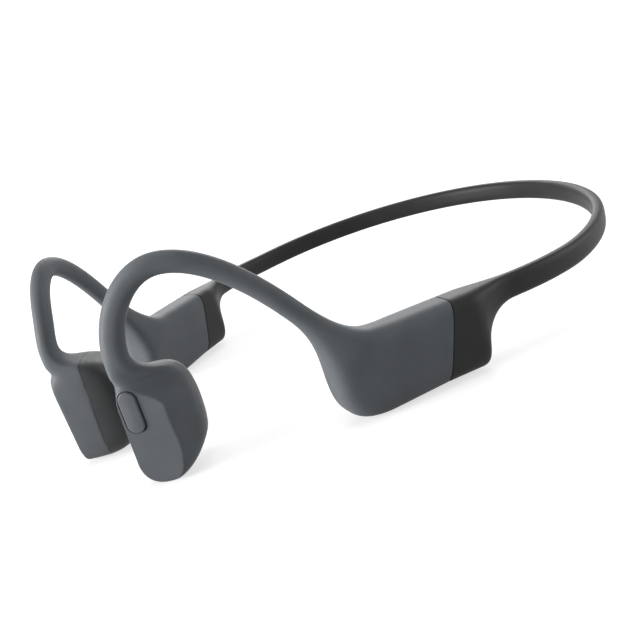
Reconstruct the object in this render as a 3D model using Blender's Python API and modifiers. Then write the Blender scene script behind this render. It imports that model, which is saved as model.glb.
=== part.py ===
"""Bone conduction headphones, resting on a table.

Metres, +Z up, the wearer faces -Y and the wearer's left is +X.
Two arms stand on vertical curtains that run from the neckband's ends, along
the pods, up over the ears and down to the drivers in front of them.
"""
import math

import bmesh
import bpy
import numpy as np
from mathutils import Matrix, Vector

MM = 0.001

# Neckband
BAND_RADIUS = 50.8 * MM        # centreline of the loop behind the head
BAND_HEIGHT = 5.0 * MM
BAND_THICK = 2.8 * MM
BAND_RISE = 3.2 * MM           # the back of the loop stands this much above its ends
BAND_TOP = 15.6 * MM           # top edge of the loop where it leaves a boot
LOOP_CENTRE_Y = 17.395 * MM
SPLAY = math.radians(20.5)     # how far each pod turns out toward the back

# Pods
POD_LENGTH = 20.0 * MM         # seam to front, along Y at mid height
POD_TOP = 15.8 * MM
POD_BOTTOM = 0.6 * MM
POD_DROP = 0.6 * MM            # the pod's underside falls this much toward its front
POD_THICK = 9.2 * MM
SEAM_Y = -15.305 * MM          # top of the seam between pod and boot
SEAM_SLANT = 4.0 * MM          # the seam's bottom stands this far forward of its top
BOOT_LENGTH = 9.7 * MM         # boot's foot behind the seam's bottom

# Ear hooks
HOOK_WIDTH = 3.6 * MM          # in the arch's plane
HOOK_THICK = 3.5 * MM          # across it
HOOK_CREST_Y = -58.705 * MM
HOOK_CREST_Z = 38.6 * MM
HOOK_FLARE = 0.2 * MM          # extra width on the inner side where the hook meets the pod
ROOT_FLARE = 0.6 * MM          # and where it meets the driver's head
ROOT_RISE = 3.6 * MM           # the hook's root stands this far above the head
ROOT_RECEDE = 0.25 * MM        # and this far behind the head's front edge
ROOT_LEAN = 0.65 * MM          # and leans out this far

# Driver heads
HEAD_SPACING = 30.7 * MM       # between the two curtains at the heads
DRIVER_HEIGHT = 21.2 * MM
DRIVER_WIDTH = 9.05 * MM       # along Y
DRIVER_FRONT_Y = -68.405 * MM
DRIVER_DEPTH = 12.6 * MM       # flat outer face to skin pad
DRIVER_LIFT = 0.0 * MM         # lowest point above the table
FACET_OUT = 1.8 * MM           # flat outer face, outside the curtain
SHELL_DEPTH = 6.4 * MM         # grey shell behind the flat face
WEDGE_SLOPE = 0.8              # how steeply the outer side falls away behind the flat face
WEDGE_BACK = 2.65 * MM         # where it starts to, behind the head's middle
ROOF_DEPTH = 3.2 * MM          # flat face to the driver's well

# Walls and clearances
SKIN_WALL = 1.2 * MM
CASE_WALL = 0.9 * MM
GAP = 0.3 * MM
FIT = 0.15 * MM
BORE_RADIUS = 1.15 * MM
WIRE_RADIUS = 0.35 * MM
WIRE_SPACING = 1.05 * MM

# Buttons
MAIN_BUTTON_LENGTH = 8.0 * MM
MAIN_BUTTON_WIDTH = 3.2 * MM
MAIN_BUTTON_PROUD = 0.35 * MM
MAIN_BUTTON_UP = 4.1 * MM      # above the head's middle
MAIN_BUTTON_INSET = 2.2 * MM   # its middle behind the head's front edge
MAIN_BUTTON_WALL = 2.0 * MM    # how deep its stem runs in its slot
VOLUME_BUTTON_LENGTH = 5.6 * MM
VOLUME_BUTTON_WIDTH = 2.6 * MM
VOLUME_BUTTON_PROUD = 0.4 * MM
VOLUME_PITCH = 7.4 * MM
FLANGE_LIP = 0.55 * MM
FLANGE_THICK = 0.4 * MM
TRAVEL = 0.3 * MM
MAIN_SWITCH = (0.5 * MM, 2.2 * MM, 2.6 * MM)
VOLUME_SWITCH = (0.7 * MM, 1.6 * MM, 2.4 * MM)

# Magnet motor
YOKE_RADIUS = 4.2 * MM
YOKE_LENGTH = 3.0 * MM
YOKE_WALL = 0.7 * MM
MAGNET_RADIUS = 2.6 * MM
MAGNET_LENGTH = 1.6 * MM
COIL_INNER = 2.85 * MM
COIL_WALL = 0.4 * MM
COIL_LENGTH = 2.6 * MM
LEAF_THICK = 0.3 * MM
MOTOR_DROP = 2.2 * MM          # well's roof to yoke, with room for the button's switch
MOTOR_SHIFT = 0.4 * MM         # motor ahead of the head's middle
COIL_GAP = 0.4 * MM
GLUE = 0.02 * MM

# Board and cell
CELL_LENGTH = 0.63 * POD_LENGTH
CELL_HEIGHT = 0.48 * POD_TOP
CELL_THICK = 3.2 * MM
BOARD_LENGTH = 0.57 * POD_LENGTH
BOARD_HEIGHT = 0.468 * POD_TOP
BOARD_THICK = 0.8 * MM

AROUND = 20
LOOP_STEPS = 33
LEFT, RIGHT = 1, -1

for old in list(bpy.data.objects):
    bpy.data.objects.remove(old, do_unlink=True)

parts = bpy.data.collections.new("bone_conduction_headphones")
tools = bpy.data.collections.new("cutters")
for group in (parts, tools):
    bpy.context.scene.collection.children.link(group)
tools.hide_render = True


def make_material(name, colour, roughness, metallic=0.0):
    mat = bpy.data.materials.new(name)
    mat.use_nodes = True
    shader = mat.node_tree.nodes["Principled BSDF"]
    shader.inputs["Base Color"].default_value = (*colour, 1.0)
    shader.inputs["Roughness"].default_value = roughness
    shader.inputs["Metallic"].default_value = metallic
    mat.diffuse_color = (*colour, 1.0)
    return mat


grey_silicone = make_material("grey_silicone", (0.13, 0.14, 0.15), 0.6)
black_silicone = make_material("black_silicone", (0.02, 0.02, 0.022), 0.6)
button_rubber = make_material("button_rubber", (0.15, 0.16, 0.17), 0.55)
case_plastic = make_material("case_plastic", (0.05, 0.05, 0.05), 0.5)
spring_metal = make_material("spring_metal", (0.55, 0.55, 0.57), 0.3, 1.0)
lead_jacket = make_material("lead_jacket", (0.3, 0.03, 0.03), 0.5)
cell_wrap = make_material("cell_wrap", (0.1, 0.2, 0.4), 0.4)
board_green = make_material("board_green", (0.02, 0.15, 0.05), 0.5)
yoke_steel = make_material("yoke_steel", (0.5, 0.5, 0.5), 0.4, 1.0)
magnet_metal = make_material("magnet_metal", (0.6, 0.6, 0.62), 0.25, 1.0)
coil_copper = make_material("coil_copper", (0.7, 0.35, 0.15), 0.35, 1.0)
contact_gold = make_material("contact_gold", (0.8, 0.6, 0.2), 0.25, 1.0)
clear_plastic = make_material("clear_plastic", (0.7, 0.7, 0.7), 0.2)


def keep(obj, name, material):
    """Name an object as one node of the assembly."""
    for owner in list(obj.users_collection):
        owner.objects.unlink(obj)
    parts.objects.link(obj)
    obj.name = name
    obj.data.name = name
    obj.data.materials.clear()
    obj.data.materials.append(material)
    return obj


def cutter(obj):
    for owner in list(obj.users_collection):
        owner.objects.unlink(obj)
    tools.objects.link(obj)
    obj.display_type = "WIRE"
    obj.hide_render = True
    return obj


def apply_all(obj):
    """Freeze an object's modifiers and placement into its mesh."""
    graph = bpy.context.evaluated_depsgraph_get()
    mesh = bpy.data.meshes.new_from_object(obj.evaluated_get(graph))
    obj.modifiers.clear()
    obj.data = mesh
    obj.data.transform(obj.matrix_world)
    obj.matrix_world = Matrix.Identity(4)
    return obj


def combine(obj, other, operation):
    mod = obj.modifiers.new(operation.lower(), "BOOLEAN")
    mod.operation = operation
    mod.solver = "EXACT"
    mod.object = other
    bpy.context.view_layer.update()
    apply_all(obj)
    cutter(other)
    return obj


def cut(obj, *others):
    for other in others:
        combine(obj, other, "DIFFERENCE")
    return obj


def mesh_object(name, points, faces):
    mesh = bpy.data.meshes.new(name)
    mesh.from_pydata([tuple(p) for p in points], [], faces)
    shape = bmesh.new()
    shape.from_mesh(mesh)
    bmesh.ops.recalc_face_normals(shape, faces=shape.faces)
    shape.to_mesh(mesh)
    shape.free()
    obj = bpy.data.objects.new(name, mesh)
    tools.objects.link(obj)
    return obj


def loft(name, rings):
    """Closed skin through rings of equal count, each end closed by a fan."""
    rings = np.asarray(rings, dtype=float)
    count, around, _ = rings.shape
    points = np.concatenate([rings.reshape(-1, 3), rings[[0, -1]].mean(axis=1)])
    faces = []
    for i in range(count - 1):
        for j in range(around):
            k = (j + 1) % around
            faces.append((i * around + j, i * around + k, (i + 1) * around + k, (i + 1) * around + j))
    first, last = count * around, count * around + 1
    for j in range(around):
        k = (j + 1) % around
        faces.append((first, k, j))
        faces.append((last, (count - 1) * around + j, (count - 1) * around + k))
    return mesh_object(name, points, faces)


def oval(across, along, power, around=AROUND, start=0.0):
    """Rounded outline with half sizes across and along; power 2 is an ellipse."""
    angle = np.linspace(0, 2 * math.pi, around, endpoint=False) + start
    c, s = np.cos(angle), np.sin(angle)
    u = across * np.sign(c) * np.abs(c) ** (2 / power)
    v = along * np.sign(s) * np.abs(s) ** (2 / power)
    return u, v


def block(name, size, matrix, bevel=0.0):
    bpy.ops.mesh.primitive_cube_add(size=1)
    obj = bpy.context.object
    obj.name = name
    obj.data.transform(Matrix.Diagonal((*size, 1)))
    if bevel:
        mod = obj.modifiers.new("bevel", "BEVEL")
        mod.width = bevel
        mod.segments = 2
    obj.matrix_world = matrix
    bpy.context.view_layer.update()
    return apply_all(obj)


def drum(name, radius, length, matrix, vertices=24):
    """Cylinder along the frame's first axis, centred on the frame."""
    bpy.ops.mesh.primitive_cylinder_add(radius=radius, depth=length, vertices=vertices)
    obj = bpy.context.object
    obj.name = name
    obj.matrix_world = matrix @ Matrix.Rotation(math.pi / 2, 4, "Y")
    bpy.context.view_layer.update()
    return apply_all(obj)


def pill(name, length, width, depth, matrix):
    """Slab with round ends: depth on the first axis, length on the third."""
    half = (length - width) / 2
    angle = np.linspace(-math.pi / 2, math.pi / 2, 8)
    outline = [(width / 2 * math.sin(a), half + width / 2 * math.cos(a)) for a in angle]
    outline += [(-y, -z) for y, z in outline]
    rings = [[matrix @ Vector((x, y, z)) for y, z in outline] for x in (-depth / 2, depth / 2)]
    return loft(name, rings)


def tube(name, path, radius, sides):
    """Round bar along a path, as a curve with a bevel."""
    curve = bpy.data.curves.new(name, "CURVE")
    curve.dimensions = "3D"
    curve.bevel_depth = radius
    curve.bevel_resolution = sides
    curve.use_fill_caps = True
    spline = curve.splines.new("POLY")
    spline.points.add(len(path) - 1)
    for point, place in zip(spline.points, path):
        point.co = (*place, 1.0)
    obj = bpy.data.objects.new(name, curve)
    tools.objects.link(obj)
    bpy.context.view_layer.update()
    graph = bpy.context.evaluated_depsgraph_get()
    mesh = bpy.data.meshes.new_from_object(obj.evaluated_get(graph))
    bpy.data.objects.remove(obj, do_unlink=True)
    shape = bmesh.new()
    shape.from_mesh(mesh)
    bmesh.ops.remove_doubles(shape, verts=shape.verts, dist=0.00001)
    bmesh.ops.recalc_face_normals(shape, faces=shape.faces)
    shape.to_mesh(mesh)
    shape.free()
    bar = bpy.data.objects.new(name, mesh)
    tools.objects.link(bar)
    return bar


# Layout shared by every piece

LOOP_END_X = BAND_RADIUS * math.cos(SPLAY)
LOOP_END_Y = LOOP_CENTRE_Y - BAND_RADIUS * math.sin(SPLAY)
BEND_Y = SEAM_Y - POD_LENGTH           # the curtain starts to bend in here
DRIVER_TOP = DRIVER_LIFT + DRIVER_HEIGHT
DRIVER_MID_Y = DRIVER_FRONT_Y + DRIVER_WIDTH / 2
DRIVER_MID_Z = DRIVER_LIFT + DRIVER_HEIGHT / 2
# Inward bend of the curtain, so that the heads stand at their spacing
STRAIGHT_X = LOOP_END_X + math.tan(SPLAY) * (DRIVER_MID_Y - LOOP_END_Y)
HOOK_BEND = (STRAIGHT_X - HEAD_SPACING / 2) / (BEND_Y - DRIVER_MID_Y) ** 2


def curtain_x(y):
    """Plan line of an arm: straight along the pod, then bending inward."""
    ahead = np.maximum(0.0, BEND_Y - np.asarray(y))
    return LOOP_END_X + math.tan(SPLAY) * (np.asarray(y) - LOOP_END_Y) - HOOK_BEND * ahead ** 2


def outward(y):
    """Unit normal of the curtain, away from the head."""
    slope = math.tan(SPLAY) + 2 * HOOK_BEND * max(0.0, BEND_Y - y)
    return np.array([1.0, -slope, 0.0]) / math.hypot(1.0, slope)


def on_curtain(y, z, out=0.0):
    return np.array([float(curtain_x(y)), y, z]) + out * outward(y)


def bezier(p0, p1, p2, p3, count, last=True):
    t = np.linspace(0, 1, count, endpoint=last)[:, None]
    p0, p1, p2, p3 = (np.asarray(p, dtype=float) for p in (p0, p1, p2, p3))
    return (1 - t) ** 3 * p0 + 3 * t * (1 - t) ** 2 * p1 + 3 * t ** 2 * (1 - t) * p2 + t ** 3 * p3


# The hook's centreline in side view: up from the driver, over, and down to the pod
ROOT_HALF = HOOK_WIDTH / 2 * outward(DRIVER_FRONT_Y)[0]
HOOK_ROOT = np.array([DRIVER_FRONT_Y + ROOT_RECEDE + ROOT_HALF, DRIVER_TOP + ROOT_RISE])
HOOK_CREST = np.array([HOOK_CREST_Y, HOOK_CREST_Z])
HOOK_FOOT = np.array([BEND_Y - 1.75 * HOOK_WIDTH, 1.48 * POD_TOP])
FOOT_LEAN = np.array([0.57, -0.82])


def hook_line(front=6, rear=10):
    up, ahead = np.array([0.03, 1.94]) * HOOK_WIDTH, np.array([1.2, 0.0]) * HOOK_WIDTH
    rise = bezier(HOOK_ROOT, HOOK_ROOT + up, HOOK_CREST - ahead, HOOK_CREST, front, False)
    foot_handle = HOOK_FOOT - 2.11 * HOOK_WIDTH * FOOT_LEAN
    fall = bezier(HOOK_CREST, HOOK_CREST + 1.4 * ahead, foot_handle, HOOK_FOOT, rear)
    return np.concatenate([rise, fall])


def hook_sides(line):
    """Outer and inner edges of the hook, listed from the driver to the pod.

    Widths are true ones on the bending curtain, where a step along Y is longer than it looks.
    """
    shrink = np.array([outward(y)[0] for y in line[:, 0]])
    along = np.gradient(line, axis=0)
    along[:, 0] /= shrink
    along /= np.linalg.norm(along, axis=1)[:, None]
    across = np.stack([-along[:, 1] * shrink, along[:, 0]], axis=1)
    run = np.linspace(0, 1, len(line))[:, None]
    flare = run ** 2 * HOOK_FLARE + (1 - run) ** 2 * ROOT_FLARE
    return line + across * HOOK_WIDTH / 2, line - across * (HOOK_WIDTH / 2 + flare)


# The driver's body from its shoulder down: height as a share of half its own, 1 at the top
DRIVER_LEVELS = np.array([0.976, 0.93, 0.85, 0.72, 0.5, 0.2, -0.2, -0.5, -0.7, -0.85, -0.94, -0.985])
HOLLOW_STEPS = 5


def ease(t):
    t = np.clip(t, 0.0, 1.0)
    return t * t * (3 - 2 * t)


def driver_ribs(hook_back):
    """Ribs of a head: front and back edges, thickness, side shift, roundness and wedge.

    Above the shoulder the back edge comes down from the hook in one hollow curve.
    """
    levels = DRIVER_LEVELS
    swell = (1 - np.abs(levels) ** 2.5) ** 0.4
    middle = DRIVER_MID_Y - np.maximum(0.0, -levels - 0.5) * 0.243 * DRIVER_WIDTH
    heights = DRIVER_LIFT + (levels - levels[-1]) * DRIVER_HEIGHT / (1 - levels[-1])
    back = np.stack([middle + swell * DRIVER_WIDTH / 2, heights], axis=1)
    shoulder = back[0] - np.array([0.5, -0.12]) * ROOT_RISE
    hollow = bezier(hook_back, hook_back - [0, ROOT_RISE / 2], shoulder, back[0], HOLLOW_STEPS, False)[1:]
    above = np.ones(len(hollow))
    back = np.concatenate([hollow, back])
    heights = back[:, 1]
    narrow = np.where(levels > -0.4, 1.0, np.minimum(1.0, 1.09 * swell))
    front = np.concatenate([DRIVER_MID_Y * above, middle])
    front = front - DRIVER_WIDTH / 2 * np.concatenate([above, narrow])
    front = front + ROOT_RECEDE * ease(heights / DRIVER_HEIGHT / 0.57 - 1)
    half = HOOK_THICK / 2
    inner = (DRIVER_DEPTH - FACET_OUT) * (1 - np.abs(levels) ** 5) ** 0.4
    growth = np.linspace(0, 1, HOLLOW_STEPS, endpoint=False)[1:] ** 2
    inner = np.concatenate([half + (inner[0] - half) * growth, inner])
    outer = half * np.concatenate([above, np.where(levels > -0.4, 1.0, np.sqrt(1 - np.abs(levels) ** 6))])
    power = np.concatenate([np.linspace(2.2, 3.2, len(hollow)), np.full(len(levels), 3.2)])
    wedge = WEDGE_SLOPE * ease((1.0 - levels) / 0.55) * np.sqrt(1 - np.abs(levels) ** 8)
    wedge = np.concatenate([0 * above, wedge])
    front = np.stack([front, heights], axis=1)
    return front, back, outer + inner, (outer - inner) / 2, power, wedge


POD_STEPS, CORNER_STEPS, NECK_STEPS = 4, 7, 8


def root_lean(y, z):
    """How far the hook's root and the head's shoulder stand out from the curtain."""
    near = np.exp(-((np.asarray(z) - HOOK_ROOT[1]) / (1.1 * HOOK_WIDTH)) ** 2)
    return np.where(np.asarray(y) < DRIVER_MID_Y, ROOT_LEAN * near, 0.0)


def arm_ribs():
    """Upper edge, lower edge, thickness, side shift, roundness and wedge, seam to driver."""
    size = np.array([POD_LENGTH, POD_TOP])
    seam_top = np.array([SEAM_Y, POD_TOP])
    seam_foot = np.array([SEAM_Y - SEAM_SLANT, POD_BOTTOM])
    top_end = np.array([SEAM_Y - 0.55 * POD_LENGTH, POD_TOP])
    foot_end = np.array([SEAM_Y - SEAM_SLANT - 0.58 * POD_LENGTH, POD_BOTTOM - POD_DROP])
    nose = np.array([BEND_Y - 0.195 * POD_LENGTH, POD_BOTTOM + 0.405 * POD_TOP])
    valley = top_end + size * [-0.18, 0.0127]
    high, low = (edge[::-1] for edge in hook_sides(hook_line()))
    blend = ease(np.linspace(0, 1, NECK_STEPS, endpoint=False))
    t = np.linspace(0, 1, POD_STEPS, endpoint=False)[:, None]
    front, back, driver_thick, driver_shift, driver_power, driver_wedge = driver_ribs(low[-1])
    upper = np.concatenate([
        seam_top * (1 - t) + top_end * t,
        bezier(top_end, top_end - size * [0.06, 0], valley + size * [0.06, -0.006], valley,
               CORNER_STEPS, False),
        bezier(valley, valley + size * [-0.21, 0.025], high[0] + 1.1 * HOOK_WIDTH * FOOT_LEAN, high[0],
               NECK_STEPS, False),
        high, front])
    lower = np.concatenate([
        seam_foot * (1 - t) + foot_end * t,
        bezier(foot_end, foot_end - size * [0.28, 0], nose + size * [0.025, -0.33], nose,
               CORNER_STEPS, False),
        bezier(nose, nose + size * [-0.02, 0.316], low[0] + 1.67 * HOOK_WIDTH * FOOT_LEAN, low[0],
               NECK_STEPS, False),
        low, back])
    neck_thick = POD_THICK * 0.93
    thick = np.concatenate([
        np.full(POD_STEPS, POD_THICK), np.linspace(POD_THICK, neck_thick, CORNER_STEPS),
        neck_thick * (1 - blend) + HOOK_THICK * blend, np.full(len(high), HOOK_THICK), driver_thick])
    power = np.concatenate([
        np.full(POD_STEPS, 4.2), np.linspace(4.2, 3.4, CORNER_STEPS),
        3.4 * (1 - blend) + 2.2 * blend, np.full(len(high), 2.2), driver_power])
    plain = np.zeros(len(upper) - len(driver_shift))
    shift = np.concatenate([plain, driver_shift]) + root_lean(upper[:, 0], upper[:, 1])
    wedge = np.concatenate([plain, driver_wedge])
    return upper, lower, thick, shift, power, wedge


ARM_RIBS = arm_ribs()


def rib_rings(side, first=0, last=None, inset=0.0, ahead=0.0, around=AROUND):
    """Rings spanning an arm's ribs, shrunk by an inset; ahead moves the first one forward."""
    rings = []
    ribs = zip(*(part[first:last] for part in ARM_RIBS))
    for index, (top, foot, wide, move, power, wedge) in enumerate(ribs):
        step = np.array([ahead if index == 0 else 0.0, 0.0])
        rib_top, rib_foot = on_curtain(*(top - step)), on_curtain(*(foot - step))
        centre = (rib_top + rib_foot) / 2
        rise = (rib_top - rib_foot) / 2
        half = np.linalg.norm(rise)
        out = outward(centre[1])
        u, v = oval(half - inset, wide / 2 - inset, power, around, 0.108 * inset / SKIN_WALL)
        v = v + wedge * (u + WEDGE_BACK) * np.clip(0.5 + v / wide, 0.0, 1.0)
        ring = centre + out * move + u[:, None] * rise / half + v[:, None] * out
        ring[:, 0] *= side
        rings.append(ring)
    return rings


def arm_frame(y, z, out, side, turn=0.0, tilt=0.0):
    """Frame on an arm's curtain: first axis outward, second forward or back, third up."""
    place = on_curtain(y, z, out)
    first = outward(y)
    cosine, sine = math.cos(turn), math.sin(turn)
    first = np.array([first[0] * cosine + first[1] * sine, first[1] * cosine - first[0] * sine, 0.0])
    first = first * math.cos(tilt) - np.array([0.0, 0.0, math.sin(tilt)])
    place[0] *= side
    first[0] *= side
    second = np.cross([0.0, 0.0, 1.0], first)
    second /= np.linalg.norm(second)
    rows = np.eye(4)
    rows[:3, 0], rows[:3, 1], rows[:3, 2], rows[:3, 3] = first, second, np.cross(first, second), place
    return Matrix(rows.tolist())


def moved(frame, first=0.0, second=0.0, third=0.0):
    return frame @ Matrix.Translation((first, second, third))


# Neckband

SEAM_MID_Z = (POD_TOP + POD_BOTTOM) / 2
BAND_MID = BAND_TOP - BAND_HEIGHT / 2
POD_REACH = 2.6 * MM                    # how far wires and bores run into a pod


def loop_point(angle):
    """Band centreline; zero angle is the left end of the loop, growing to the back."""
    height = BAND_MID + BAND_RISE * math.sin(max(0.0, min(math.pi, angle))) ** 1.2
    return np.array([BAND_RADIUS * math.cos(angle), LOOP_CENTRE_Y + BAND_RADIUS * math.sin(angle), height])


def band_rings():
    """Rings from the left seam through the boot, round the loop and through the right boot."""
    start = SEAM_Y + GAP
    boot_end = LOOP_END_Y - 0.18 * BAND_THICK
    foot_back = start - SEAM_SLANT + BOOT_LENGTH
    steps = 5
    t = np.linspace(0, 1, steps, endpoint=False)[:, None]
    step = np.array([BOOT_LENGTH, 0.0])
    top_start = np.array([start, POD_TOP])
    top_bend = top_start + 0.35 * step
    top_end = np.array([boot_end, BAND_TOP])
    top = np.concatenate([
        top_start * (1 - t) + top_bend * t,
        bezier(top_bend, top_start + 0.62 * step, top_end - 0.36 * step, top_end, 12)])
    heel = np.array([foot_back, POD_BOTTOM + 0.2 * BOOT_LENGTH])
    sole = np.array([foot_back - 0.2 * BOOT_LENGTH, POD_BOTTOM])
    under = np.array([boot_end, BAND_TOP - BAND_HEIGHT])
    turn, climb = np.array([0.01, 0.124]) * BOOT_LENGTH, np.array([0.093, 0.56]) * BOOT_LENGTH
    foot = np.concatenate([
        np.array([start - SEAM_SLANT, POD_BOTTOM]) * (1 - t) + sole * t,
        bezier(sole, sole + 0.124 * step, heel - turn, heel, 4, False),
        bezier(heel, heel + climb, under - 0.37 * step, under, 8)])
    blend = ease(np.linspace(0, 1, len(top) - steps))
    thick = np.concatenate([np.full(steps, POD_THICK), POD_THICK * (1 - blend) + BAND_THICK * blend])
    power = np.concatenate([np.full(steps, 4.2), 4.2 * (1 - blend) + 3.0 * blend])
    boot = []
    for high, low, wide, roundness in zip(top, foot, thick, power):
        rib_top, rib_foot = on_curtain(*high), on_curtain(*low)
        rise = (rib_top - rib_foot) / 2
        half = np.linalg.norm(rise)
        u, v = oval(half, wide / 2, roundness)
        boot.append((rib_top + rib_foot) / 2 + u[:, None] * rise / half + v[:, None] * outward(high[0]))
    loop = []
    u, v = oval(BAND_HEIGHT / 2, BAND_THICK / 2, 3.0)
    for angle in np.linspace(-SPLAY, math.pi + SPLAY, LOOP_STEPS)[1:-1]:
        out = np.array([math.cos(angle), math.sin(angle), 0.0])
        loop.append(loop_point(angle) + u[:, None] * np.array([0, 0, 1.0]) + v[:, None] * out)
    mirrored = [ring * [-1, 1, 1] for ring in boot[::-1]]
    return boot + loop + mirrored


def band_path(up=0.0, short=0.0):
    """Line through both boots and round the loop, ending inside the pods."""
    end_y = SEAM_Y - SEAM_SLANT / 2 - POD_REACH + short
    run = [on_curtain(y, BAND_MID + up) for y in np.linspace(end_y, LOOP_END_Y, 5)]
    loop = [loop_point(a) + [0, 0, up] for a in np.linspace(-SPLAY, math.pi + SPLAY, LOOP_STEPS)[1:-1]]
    return run + loop + [place * [-1, 1, 1] for place in run[::-1]]


def hook_path(side, out=0.0, short=0.0):
    """Line from inside the pod, up the hook and down into the driver."""
    line = hook_line(8, 12)[::-1]
    pod_end = np.array([BEND_Y + 0.02 * POD_LENGTH - short, 0.608 * POD_TOP])
    handle = pod_end + np.array([-0.12 * POD_LENGTH, 0.165 * POD_TOP])
    bend = bezier(pod_end, handle, line[0] + 1.1 * HOOK_WIDTH * FOOT_LEAN, line[0], 6, False)
    root = HOOK_ROOT[0] + 0.08 * HOOK_WIDTH
    drop = np.array([[root, DRIVER_TOP + 0.03 * DRIVER_HEIGHT],
                     [root + 0.14 * HOOK_WIDTH, DRIVER_TOP - 0.104 * DRIVER_HEIGHT],
                     [root + 0.28 * HOOK_WIDTH, DRIVER_TOP - 0.217 * DRIVER_HEIGHT + short]])
    places = np.concatenate([bend, line, drop])
    inward = np.concatenate([np.zeros(len(places) - 3), np.array([0.11, 0.46, 0.86]) * HOOK_THICK])
    lean = root_lean(places[:, 0], places[:, 1])
    path = [on_curtain(y, z, out + more - less) for (y, z), more, less in zip(places, lean, inward)]
    for place in path:
        place[0] *= side
    return path


def build_neckband():
    skin = loft("neckband_skin", band_rings())
    cut(skin, tube("band_bore", band_path(), BORE_RADIUS, 1))
    keep(skin, "neckband_skin", black_silicone)
    wire = tube("neckband_wire", band_path(WIRE_SPACING / 2, GAP), WIRE_RADIUS, 0)
    keep(wire, "neckband_wire", spring_metal)
    lead = tube("neckband_lead", band_path(-WIRE_SPACING / 2, GAP), WIRE_RADIUS, 0)
    keep(lead, "neckband_lead", lead_jacket)


# Arms

CAVITY_LAST = POD_STEPS + CORNER_STEPS + 3
CASE_INSET = SKIN_WALL + FIT
ROOM_INSET = CASE_INSET + CASE_WALL
POD_MID_Y = SEAM_Y - SEAM_SLANT / 2 - 0.5 * POD_LENGTH
POD_MID_Z = SEAM_MID_Z
FACET_TURN = math.radians(4.0)
FACET_TILT = math.radians(4.4)
ROOF_OUT = FACET_OUT - ROOF_DEPTH        # driver's well starts here, behind the flat face
SPLIT_OUT = FACET_OUT - SHELL_DEPTH
SHELL_ROOM = (4.75 * MM, 7.6 * MM)       # half width and half height of the driver's well
PAD_ROOM = (4.6 * MM, 6.2 * MM)
PAD_WALL = 2.3 * MM
PAD_FLAT = 0.4 * MM                      # how much the pad's crown is cut flat for the skin


def driver_frame(side, out=0.0):
    return arm_frame(DRIVER_MID_Y, DRIVER_MID_Z, out, side)


def motor_frame(side, out=0.0):
    return moved(driver_frame(side, out), 0.0, -side * MOTOR_SHIFT)


def facet_frame(side):
    return arm_frame(DRIVER_MID_Y, DRIVER_MID_Z, FACET_OUT, side, FACET_TURN, FACET_TILT)


def driver_room(side, from_out, to_out, half_sizes):
    """Oval well across the driver between two offsets from the curtain."""
    frame = motor_frame(side)
    y, z = oval(*half_sizes, 3.6)
    rings = [[frame @ Vector((x, a, b)) for a, b in zip(y, z)] for x in (from_out, to_out)]
    return loft("driver_room", rings)


def half_space(frame, toward, size=2 * HEAD_SPACING):
    """Large block whose near face is the frame's plane."""
    return block("half_space", (size, size, size), moved(frame, toward * size / 2))


def head_slab(name, frame, toward):
    """Block as wide and tall as a head needs, on one side of the frame's plane."""
    size = (1.5 * DRIVER_DEPTH, 3 * DRIVER_WIDTH, 1.3 * DRIVER_HEIGHT)
    return block(name, size, moved(frame, toward * size[0] / 2))


def build_arm_skin(side, word):
    skin = loft(word + "_arm_skin", rib_rings(side))
    pod_room = loft("pod_room", rib_rings(side, 0, CAVITY_LAST, SKIN_WALL, -0.15 * POD_LENGTH))
    well = driver_room(side, ROOF_OUT, SPLIT_OUT - SHELL_DEPTH / 2, SHELL_ROOM)
    cut(skin, head_slab("facet", facet_frame(side), 1), head_slab("split", driver_frame(side, SPLIT_OUT), -1))
    cut(skin, pod_room, well)
    cut(skin, tube("hook_bore", hook_path(side), BORE_RADIUS, 1))
    return skin


def build_hook_core(side, word):
    wire = tube("wire", hook_path(side, WIRE_SPACING / 2, GAP), WIRE_RADIUS, 0)
    keep(wire, word + "_hook_wire", spring_metal)
    lead = tube("lead", hook_path(side, -WIRE_SPACING / 2, GAP), WIRE_RADIUS, 0)
    keep(lead, word + "_hook_lead", lead_jacket)


def build_pod_case(side, word, holes):
    """Two trays that meet on the curtain, with the given holes through both."""
    frame = arm_frame(POD_MID_Y, POD_MID_Z, 0.0, side)
    for half, toward in (("outer", -1), ("inner", 1)):
        tray = loft("tray", rib_rings(side, 0, CAVITY_LAST - 1, CASE_INSET, GAP))
        room = loft("room", rib_rings(side, 0, CAVITY_LAST - 2, ROOM_INSET, GAP + CASE_WALL))
        cut(tray, half_space(moved(frame, -toward * FIT / 2), toward), room)
        cut(tray, tube("hook_hole", hook_path(side), BORE_RADIUS, 1))
        cut(tray, tube("band_hole", band_path(), BORE_RADIUS, 1))
        cut(tray, *(hole() for hole in holes))
        keep(tray, word + "_pod_case_" + half, case_plastic)


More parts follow.
